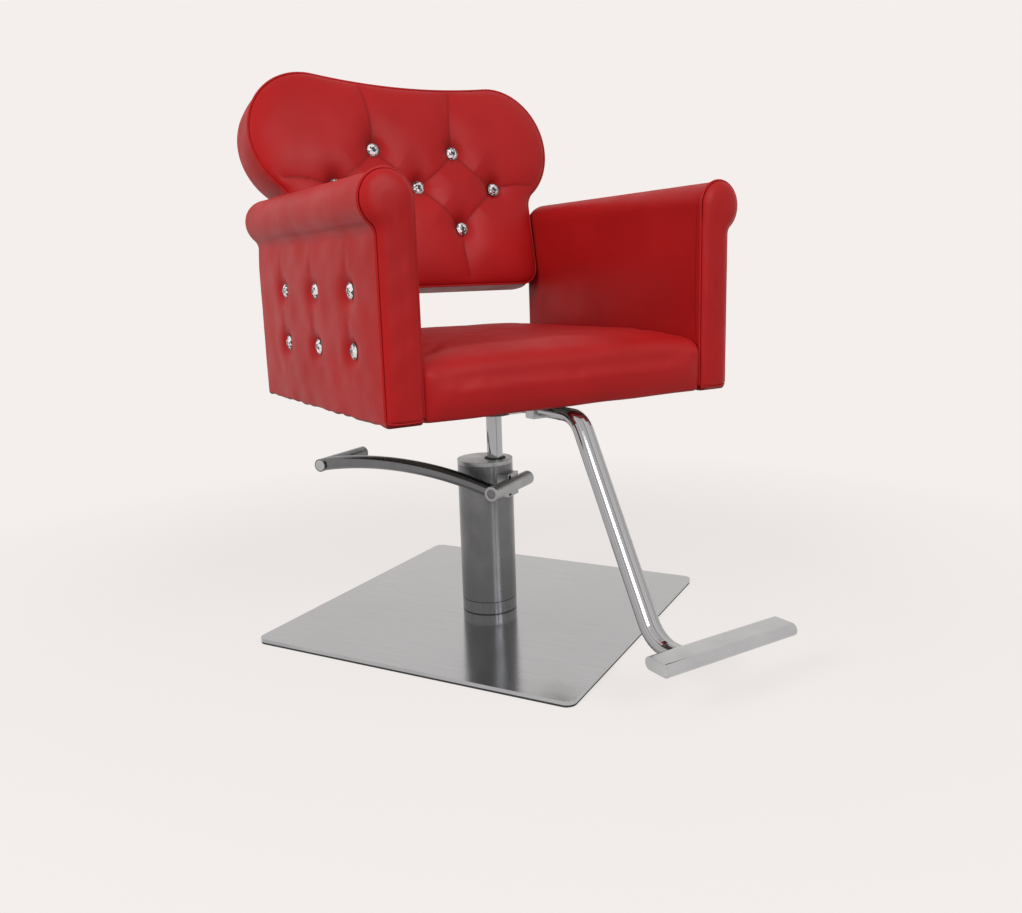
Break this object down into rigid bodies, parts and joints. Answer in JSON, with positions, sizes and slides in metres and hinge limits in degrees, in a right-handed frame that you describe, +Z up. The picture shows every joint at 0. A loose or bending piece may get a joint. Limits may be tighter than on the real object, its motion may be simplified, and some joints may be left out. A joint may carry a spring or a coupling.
{
  "type": "hydraulic barber chair",
  "caption": "Hydraulic salon chair with scroll arms, tufted lobed back, column pump with foot lever, swivel seat and tubular footrest on a square plate.",
  "frame": {"origin": "on the floor, under the axis of the ram and swivel, at the underside of the base's rubber sheet", "axes": "+Z up along the ram; the seat faces -Y; +X is to the sitter's left"},
  "size_m": [0.7984, 0.9318, 0.9823],
  "materials": {
    "rubber_sheet": "matt black rubber",
    "brushed_plate": "brushed stainless steel",
    "polished_column": "polished steel",
    "chromed_tube": "bright chrome",
    "dark_lever": "dark polished steel",
    "plain_steel": "bare machined steel",
    "black_steel": "black painted steel",
    "ply": "bare plywood",
    "red_cover": "red smooth leatherette over foam",
    "button_metal": "bright metal cup",
    "crystal": "clear faceted stone",
    "seal": "black seal"
  },
  "bodies": {
    "base": {"base_gasket": "rubber_sheet", "base_plate": "brushed_plate", "base_screws": "plain_steel", "column_foot": "polished_column", "column_tube": "polished_column", "column_cap": "polished_column", "rod_gland": "seal", "ram_cylinder": "plain_steel", "pump_cylinder": "plain_steel", "plunger_spring": "plain_steel", "pump_housing": "polished_column", "housing_screws": "plain_steel", "housing_cap": "polished_column"},
    "plunger": {"pump_plunger": "plain_steel"},
    "lever": {"lever_shaft": "plain_steel", "lever_finger": "plain_steel", "lever_hub": "dark_lever", "hub_plug": "dark_lever", "lever_arm": "dark_lever", "pedal_bar": "dark_lever", "pedal_plugs": "plain_steel"},
    "ram": {"ram_rod": "chromed_tube", "ram_piston": "plain_steel", "piston_seal": "seal", "swivel_washer": "plain_steel", "retaining_screw": "plain_steel"},
    "seat": {"swivel_hub": "black_steel", "mount_plate": "black_steel", "mount_bolts": "plain_steel", "footrest_clamps": "black_steel", "clamp_screws": "plain_steel", "footrest_tube": "chromed_tube", "footrest_bar": "chromed_tube", "footrest_plugs": "plain_steel", "seat_board": "ply", "seat_rail": "red_cover", "seat_pad": "red_cover", "arm_bolts": "plain_steel", "left_arm_core": "ply", "left_arm_inner_pad": "red_cover", "left_arm_outer_pad": "red_cover", "left_arm_roll": "red_cover", "left_arm_facing": "red_cover", "left_arm_rear": "red_cover", "right_arm_core": "ply", "right_arm_inner_pad": "red_cover", "right_arm_outer_pad": "red_cover", "right_arm_roll": "red_cover", "right_arm_facing": "red_cover", "right_arm_rear": "red_cover", "arm_piping": "red_cover", "back_board": "ply", "back_shell": "red_cover", "back_pad": "red_cover", "back_piping": "red_cover", "back_brackets": "black_steel", "back_bolts": "black_steel", "button_rims": "button_metal", "button_gems": "crystal"}
  },
  "joints": [
    {"name": "seat_lift", "type": "slide", "parent": "base", "child": "ram", "axis": [0, 0, 1], "range_m": [-0.06, 0.09]},
    {"name": "seat_swivel", "type": "hinge", "parent": "ram", "child": "seat", "pos_m": [0, 0, 0.368], "axis": [0, 0, 1], "range_deg": [-120, 190]},
    {"name": "pump_lever", "type": "hinge", "parent": "base", "child": "lever", "pos_m": [0.01637, -0.04288, 0.248], "axis": [-0.8625, -0.506, 0], "range_deg": [0, 22], "stiffness_Nm_per_rad": 12, "springref_deg": -28.65},
    {"name": "plunger_slide", "type": "slide", "parent": "base", "child": "plunger", "axis": [0, 0, -1], "range_m": [0, 0.025], "deforming": ["plunger_spring"]}
  ],
  "couplings": [
    {"joint": "plunger_slide", "follows": "pump_lever", "m_per_rad": 0.065}
  ]
}
